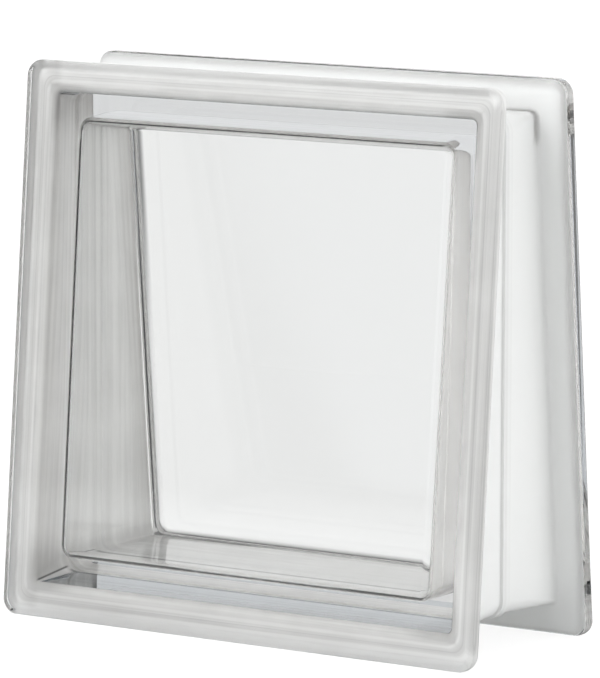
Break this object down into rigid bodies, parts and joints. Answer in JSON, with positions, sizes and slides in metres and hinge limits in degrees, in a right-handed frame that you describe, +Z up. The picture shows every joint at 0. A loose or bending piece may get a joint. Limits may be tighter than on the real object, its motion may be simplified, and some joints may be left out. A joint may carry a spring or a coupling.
{
  "type": "trapezoidal glass block",
  "caption": "Hollow wedge-shaped glass block: square leaning faces with rims that overhang a fused body, leaving a mortar channel all round.",
  "frame": {"origin": "on the floor under the middle of the block, in the plane of the seam", "axes": "+Z up the seam from the deep base to the shallow top, +X along the faces, -Y out of the front face"},
  "size_m": [0.19, 0.08, 0.19],
  "materials": {
    "front_glass": "clear pressed glass, fire polished, with a white edge coating on the body's outside and the rim's back",
    "rear_glass": "clear pressed glass, fire polished, with a white edge coating on the body's outside and the rim's back"
  },
  "bodies": {
    "root": {"front_half": "front_glass", "rear_half": "rear_glass"}
  },
  "joints": []
}
